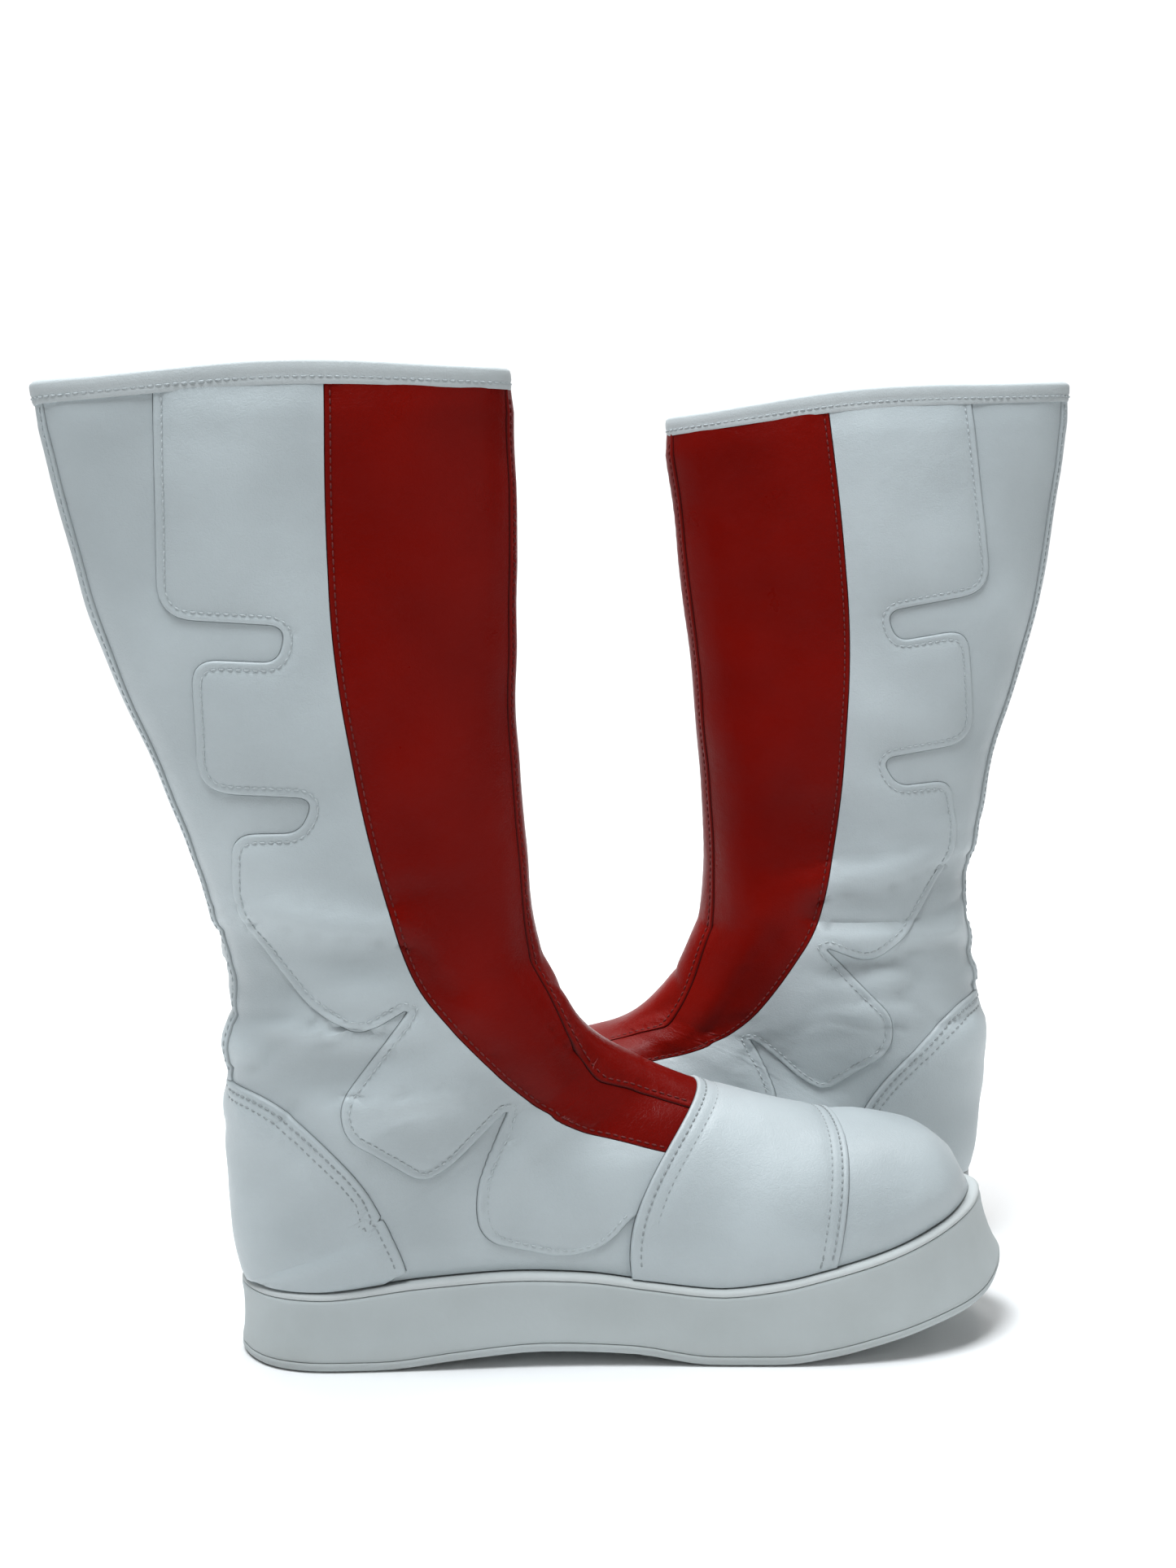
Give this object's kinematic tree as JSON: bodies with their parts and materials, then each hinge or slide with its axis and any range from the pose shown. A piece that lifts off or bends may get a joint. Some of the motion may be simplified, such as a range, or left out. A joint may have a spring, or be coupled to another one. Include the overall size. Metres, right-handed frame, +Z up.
{
  "type": "pair of boxing boots",
  "caption": "Pair of tall boxing boots: white leather with red front panels, stitched overlays, flat off-white soles and an inside zip on each shaft.",
  "frame": {"origin": "centre of the pair's footprint, on the ground", "axes": "+X along the pair's longest side, towards the left boot's heel; +Y from the right boot towards the left boot; +Z up"},
  "size_m": [0.4276, 0.2388, 0.3896],
  "materials": {
    "right_outsole": "off-white rubber, fine tread",
    "right_midsole": "off-white foam rubber, matte",
    "right_welt": "off-white rubber, matte",
    "right_ball_filler": "pressed cork",
    "right_shank": "spring steel strip",
    "right_insole_board": "fibre board",
    "right_footbed": "fabric over foam",
    "right_front_strip": "deep red smooth leather",
    "right_red_panel_lateral": "deep red smooth leather",
    "right_red_panel_medial": "deep red smooth leather",
    "right_overlay_lateral": "cool white smooth leather, lightly creased",
    "right_overlay_medial": "cool white smooth leather, lightly creased",
    "right_quarter_lateral": "cool white smooth leather, lightly creased",
    "right_quarter_medial": "cool white smooth leather, lightly creased",
    "right_back_stay": "cool white smooth leather, lightly creased",
    "right_heel_cover": "cool white smooth leather, lightly creased",
    "right_vamp": "cool white smooth leather, lightly creased",
    "right_toe_cap": "cool white smooth leather, lightly creased",
    "right_shaft_lining": "woven lining",
    "right_foot_lining": "woven lining",
    "right_heel_counter": "stiffened leather board",
    "right_toe_puff": "stiffened leather board",
    "right_collar_binding": "cool white smooth leather, lightly creased",
    "right_zipper_tape": "woven tape",
    "right_zipper_chain": "moulded teeth",
    "right_zipper_top_stop": "plated",
    "right_zipper_bottom_stop": "plated",
    "right_zipper_slider": "plated, satin",
    "right_zipper_pull": "plated, satin",
    "left_outsole": "off-white rubber, fine tread",
    "left_midsole": "off-white foam rubber, matte",
    "left_welt": "off-white rubber, matte",
    "left_ball_filler": "pressed cork",
    "left_shank": "spring steel strip",
    "left_insole_board": "fibre board",
    "left_footbed": "fabric over foam",
    "left_front_strip": "deep red smooth leather",
    "left_red_panel_lateral": "deep red smooth leather",
    "left_red_panel_medial": "deep red smooth leather",
    "left_overlay_lateral": "cool white smooth leather, lightly creased",
    "left_overlay_medial": "cool white smooth leather, lightly creased",
    "left_quarter_lateral": "cool white smooth leather, lightly creased",
    "left_quarter_medial": "cool white smooth leather, lightly creased",
    "left_back_stay": "cool white smooth leather, lightly creased",
    "left_heel_cover": "cool white smooth leather, lightly creased",
    "left_vamp": "cool white smooth leather, lightly creased",
    "left_toe_cap": "cool white smooth leather, lightly creased",
    "left_shaft_lining": "woven lining",
    "left_foot_lining": "woven lining",
    "left_heel_counter": "stiffened leather board",
    "left_toe_puff": "stiffened leather board",
    "left_collar_binding": "cool white smooth leather, lightly creased",
    "left_zipper_tape": "woven tape",
    "left_zipper_chain": "moulded teeth",
    "left_zipper_top_stop": "plated",
    "left_zipper_bottom_stop": "plated",
    "left_zipper_slider": "plated, satin",
    "left_zipper_pull": "plated, satin"
  },
  "bodies": {
    "right_boot": {"right_outsole": "right_outsole", "right_midsole": "right_midsole", "right_welt": "right_welt", "right_ball_filler": "right_ball_filler", "right_shank": "right_shank", "right_insole_board": "right_insole_board", "right_footbed": "right_footbed", "right_front_strip": "right_front_strip", "right_red_panel_lateral": "right_red_panel_lateral", "right_red_panel_medial": "right_red_panel_medial", "right_overlay_lateral": "right_overlay_lateral", "right_overlay_medial": "right_overlay_medial", "right_quarter_lateral": "right_quarter_lateral", "right_quarter_medial": "right_quarter_medial", "right_back_stay": "right_back_stay", "right_heel_cover": "right_heel_cover", "right_vamp": "right_vamp", "right_toe_cap": "right_toe_cap", "right_shaft_lining": "right_shaft_lining", "right_foot_lining": "right_foot_lining", "right_heel_counter": "right_heel_counter", "right_toe_puff": "right_toe_puff", "right_collar_binding": "right_collar_binding", "right_zipper_tape": "right_zipper_tape", "right_zipper_chain": "right_zipper_chain", "right_zipper_top_stop": "right_zipper_top_stop", "right_zipper_bottom_stop": "right_zipper_bottom_stop"},
    "right_slider": {"right_zipper_slider": "right_zipper_slider"},
    "right_pull": {"right_zipper_pull": "right_zipper_pull"},
    "left_boot": {"left_outsole": "left_outsole", "left_midsole": "left_midsole", "left_welt": "left_welt", "left_ball_filler": "left_ball_filler", "left_shank": "left_shank", "left_insole_board": "left_insole_board", "left_footbed": "left_footbed", "left_front_strip": "left_front_strip", "left_red_panel_lateral": "left_red_panel_lateral", "left_red_panel_medial": "left_red_panel_medial", "left_overlay_lateral": "left_overlay_lateral", "left_overlay_medial": "left_overlay_medial", "left_quarter_lateral": "left_quarter_lateral", "left_quarter_medial": "left_quarter_medial", "left_back_stay": "left_back_stay", "left_heel_cover": "left_heel_cover", "left_vamp": "left_vamp", "left_toe_cap": "left_toe_cap", "left_shaft_lining": "left_shaft_lining", "left_foot_lining": "left_foot_lining", "left_heel_counter": "left_heel_counter", "left_toe_puff": "left_toe_puff", "left_collar_binding": "left_collar_binding", "left_zipper_tape": "left_zipper_tape", "left_zipper_chain": "left_zipper_chain", "left_zipper_top_stop": "left_zipper_top_stop", "left_zipper_bottom_stop": "left_zipper_bottom_stop"},
    "left_slider": {"left_zipper_slider": "left_zipper_slider"},
    "left_pull": {"left_zipper_pull": "left_zipper_pull"}
  },
  "joints": [
    {"name": "left_boot_apart", "type": "slide", "parent": "right_boot", "child": "left_boot", "axis": [0, 1, 0], "range_m": [0, 0.3]},
    {"name": "right_zip_travel", "type": "slide", "parent": "right_boot", "child": "right_slider", "axis": [0.1798, 0.0689, -0.9813], "range_m": [0, 0.215]},
    {"name": "right_pull_swing", "type": "hinge", "parent": "right_slider", "child": "right_pull", "pos_m": [-0.13933, -0.0604, 0.35533], "axis": [0.962, 0.1962, 0.19], "range_deg": [0, 170]},
    {"name": "left_zip_travel", "type": "slide", "parent": "left_boot", "child": "left_slider", "axis": [-0.0625, 0.0466, -0.997], "range_m": [0, 0.215]},
    {"name": "left_pull_swing", "type": "hinge", "parent": "left_slider", "child": "left_pull", "pos_m": [0.13916, 0.08641, 0.3588], "axis": [0.9914, -0.1125, -0.0674], "range_deg": [0, 170]}
  ]
}
